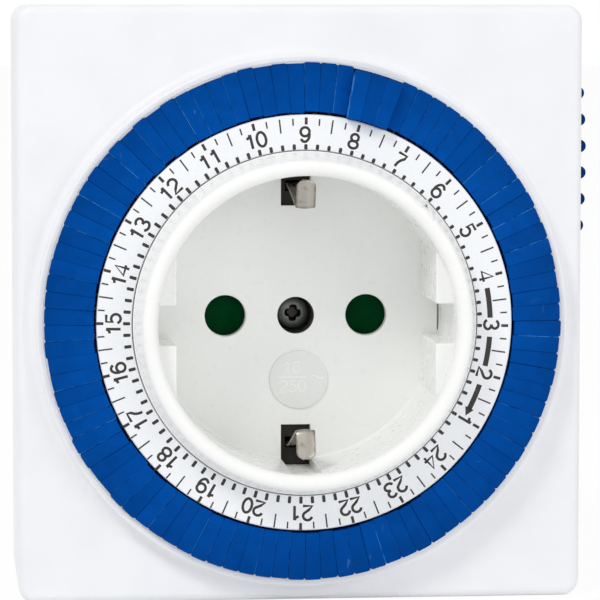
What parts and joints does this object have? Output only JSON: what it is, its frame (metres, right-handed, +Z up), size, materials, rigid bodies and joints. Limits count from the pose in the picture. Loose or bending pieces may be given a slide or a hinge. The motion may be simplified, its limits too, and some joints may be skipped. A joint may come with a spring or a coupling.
{
  "type": "plug in timer switch",
  "caption": "Plug in 24 hour mechanical segment timer: white casing with a plug behind, a turning dial with blue switching segments round an earthed socket, and a ribbed override slider.",
  "frame": {"origin": "centre of the plug face, on the common axis of plug, socket and dial", "axes": "+X right and +Z up as seen from the dial, +Y towards the wall, along the plug pins"},
  "size_m": [0.0766, 0.077, 0.079],
  "materials": {
    "casing_white": "fine satin moulded ABS",
    "socket_white": "glossy moulded plastic",
    "dial_white": "satin plastic with black print",
    "segment_blue": "satin blue plastic",
    "shutter_green": "satin dark green plastic",
    "screw_zinc": "zinc plated steel",
    "contact_nickel": "nickel plated brass",
    "gear_plastic": "natural acetal",
    "block_plastic": "dark glass filled polyamide",
    "motor_steel": "zinc plated sheet steel",
    "coil_copper": "enamelled copper winding",
    "magnet": "ferrite",
    "spring_steel": "spring steel",
    "plate_brass": "rolled brass",
    "wire_brown": "PVC insulation",
    "wire_blue": "PVC insulation"
  },
  "bodies": {
    "root": {"centre_screw": "screw_zinc", "contact_carrier": "block_plastic", "detent_spring": "spring_steel", "earth_strap": "contact_nickel", "fixed_contact": "contact_nickel", "front_housing": "casing_white", "housing_screws": "screw_zinc", "lever_pin": "motor_steel", "live_contact": "contact_nickel", "live_pin": "contact_nickel", "motor_can": "motor_steel", "motor_coil": "coil_copper", "motor_gearcase": "gear_plastic", "neutral_contact": "contact_nickel", "neutral_pin": "contact_nickel", "plug_earth_strap": "contact_nickel", "rear_housing": "casing_white", "shutter_spring": "spring_steel", "socket_insert": "socket_white", "switch_case": "block_plastic", "switch_terminal": "contact_nickel", "train_plate": "motor_steel", "train_screws": "screw_zinc", "wheel_stud": "motor_steel", "wire_live": "wire_brown", "wire_motor": "wire_blue", "wire_switched": "wire_brown"},
    "dial": {"dial_ring": "dial_white", "segment_carrier": "gear_plastic", "segments_lowered": "segment_blue"},
    "drive": {"drive_pinion": "gear_plastic", "clutch_spring": "spring_steel"},
    "clutch": {"clutch_wheel": "plate_brass"},
    "intermediate": {"intermediate_wheel": "gear_plastic"},
    "motor_output": {"motor_pinion": "plate_brass"},
    "rotor": {"motor_rotor": "magnet"},
    "shutter": {"socket_shutter": "shutter_green"},
    "slider": {"override_slider": "segment_blue"},
    "lever": {"switch_lever": "plate_brass"},
    "plunger": {"switch_plunger": "gear_plastic"},
    "blade": {"contact_blade": "contact_nickel"},
    "segment_01": {"segment_01": "segment_blue"},
    "segment_02": {"segment_02": "segment_blue"},
    "segment_03": {"segment_03": "segment_blue"},
    "segment_04": {"segment_04": "segment_blue"},
    "segment_05": {"segment_05": "segment_blue"},
    "segment_06": {"segment_06": "segment_blue"},
    "segment_07": {"segment_07": "segment_blue"},
    "segment_08": {"segment_08": "segment_blue"},
    "segment_09": {"segment_09": "segment_blue"},
    "segment_10": {"segment_10": "segment_blue"},
    "segment_11": {"segment_11": "segment_blue"},
    "segment_12": {"segment_12": "segment_blue"}
  },
  "joints": [
    {"name": "dial_spin", "type": "hinge", "parent": "root", "child": "dial", "pos_m": [0, -0.0531, 0], "axis": [0, 1, 0], "continuous": true},
    {"name": "drive_spin", "type": "hinge", "parent": "root", "child": "drive", "pos_m": [-0.02272, -0.046, 0.02908], "axis": [0, 1, 0], "continuous": true},
    {"name": "clutch_spin", "type": "hinge", "parent": "root", "child": "clutch", "pos_m": [-0.02272, -0.0408, 0.02908], "axis": [0, 1, 0], "continuous": true},
    {"name": "intermediate_spin", "type": "hinge", "parent": "root", "child": "intermediate", "pos_m": [-0.02525, -0.0393, 0.01961], "axis": [0, 1, 0], "continuous": true},
    {"name": "motor_output_spin", "type": "hinge", "parent": "root", "child": "motor_output", "pos_m": [-0.02611, -0.0393, 0.02937], "axis": [0, 1, 0], "continuous": true},
    {"name": "rotor_spin", "type": "hinge", "parent": "root", "child": "rotor", "pos_m": [-0.0245, -0.0299, 0.0265], "axis": [0, 1, 0], "continuous": true},
    {"name": "shutter_turn", "type": "hinge", "parent": "root", "child": "shutter", "pos_m": [0, -0.0386, 0], "axis": [0, 1, 0], "range_deg": [0, 38], "stiffness_Nm_per_rad": 0.001, "springref_deg": -11.46},
    {"name": "override_slide", "type": "slide", "parent": "root", "child": "slider", "axis": [0, 0, 1], "range_m": [-0.004, 0]},
    {"name": "lever_swing", "type": "hinge", "parent": "root", "child": "lever", "pos_m": [0.01656, -0.04365, 0.0307], "axis": [0, 1, 0], "range_deg": [0, 4.94]},
    {"name": "plunger_slide", "type": "slide", "parent": "root", "child": "plunger", "axis": [-0.7071, 0, -0.7071], "range_m": [0, 0.00087]},
    {"name": "blade_swing", "type": "hinge", "parent": "root", "child": "blade", "pos_m": [0.02416, -0.04365, 0.03052], "axis": [0, 1, 0], "range_deg": [0, 10.96]},
    {"name": "segment_01_lift", "type": "slide", "parent": "dial", "child": "segment_01", "axis": [-0.0057, -0.9829, -0.1839], "range_m": [0, 0.0016]},
    {"name": "segment_02_lift", "type": "slide", "parent": "dial", "child": "segment_02", "axis": [-0.0177, -0.9829, -0.1831], "range_m": [0, 0.0016]},
    {"name": "segment_03_lift", "type": "slide", "parent": "dial", "child": "segment_03", "axis": [-0.0296, -0.9829, -0.1815], "range_m": [0, 0.0016]},
    {"name": "segment_04_lift", "type": "slide", "parent": "dial", "child": "segment_04", "axis": [-0.0415, -0.9829, -0.1792], "range_m": [-0.0016, 0]},
    {"name": "segment_05_lift", "type": "slide", "parent": "dial", "child": "segment_05", "axis": [-0.0531, -0.9829, -0.1761], "range_m": [-0.0016, 0]},
    {"name": "segment_06_lift", "type": "slide", "parent": "dial", "child": "segment_06", "axis": [-0.0645, -0.9829, -0.1723], "range_m": [-0.0016, 0]},
    {"name": "segment_07_lift", "type": "slide", "parent": "dial", "child": "segment_07", "axis": [-0.0756, -0.9829, -0.1677], "range_m": [0, 0.0016]},
    {"name": "segment_08_lift", "type": "slide", "parent": "dial", "child": "segment_08", "axis": [-0.0864, -0.9829, -0.1624], "range_m": [0, 0.0016]},
    {"name": "segment_09_lift", "type": "slide", "parent": "dial", "child": "segment_09", "axis": [-0.0969, -0.9829, -0.1564], "range_m": [0, 0.0016]},
    {"name": "segment_10_lift", "type": "slide", "parent": "dial", "child": "segment_10", "axis": [-0.1069, -0.9829, -0.1497], "range_m": [0, 0.0016]},
    {"name": "segment_11_lift", "type": "slide", "parent": "dial", "child": "segment_11", "axis": [-0.1164, -0.9829, -0.1424], "range_m": [0, 0.0016]},
    {"name": "segment_12_lift", "type": "slide", "parent": "dial", "child": "segment_12", "axis": [-0.1255, -0.9829, -0.1345], "range_m": [0, 0.0016]}
  ],
  "couplings": [
    {"joint": "drive_spin", "follows": "dial_spin", "ratio": -8},
    {"joint": "intermediate_spin", "follows": "clutch_spin", "ratio": -6},
    {"joint": "motor_output_spin", "follows": "clutch_spin", "ratio": 36},
    {"joint": "lever_swing", "follows": "override_slide", "rad_per_m": -21.5},
    {"joint": "plunger_slide", "follows": "override_slide", "ratio": -0.215},
    {"joint": "blade_swing", "follows": "override_slide", "rad_per_m": -47.778}
  ]
}
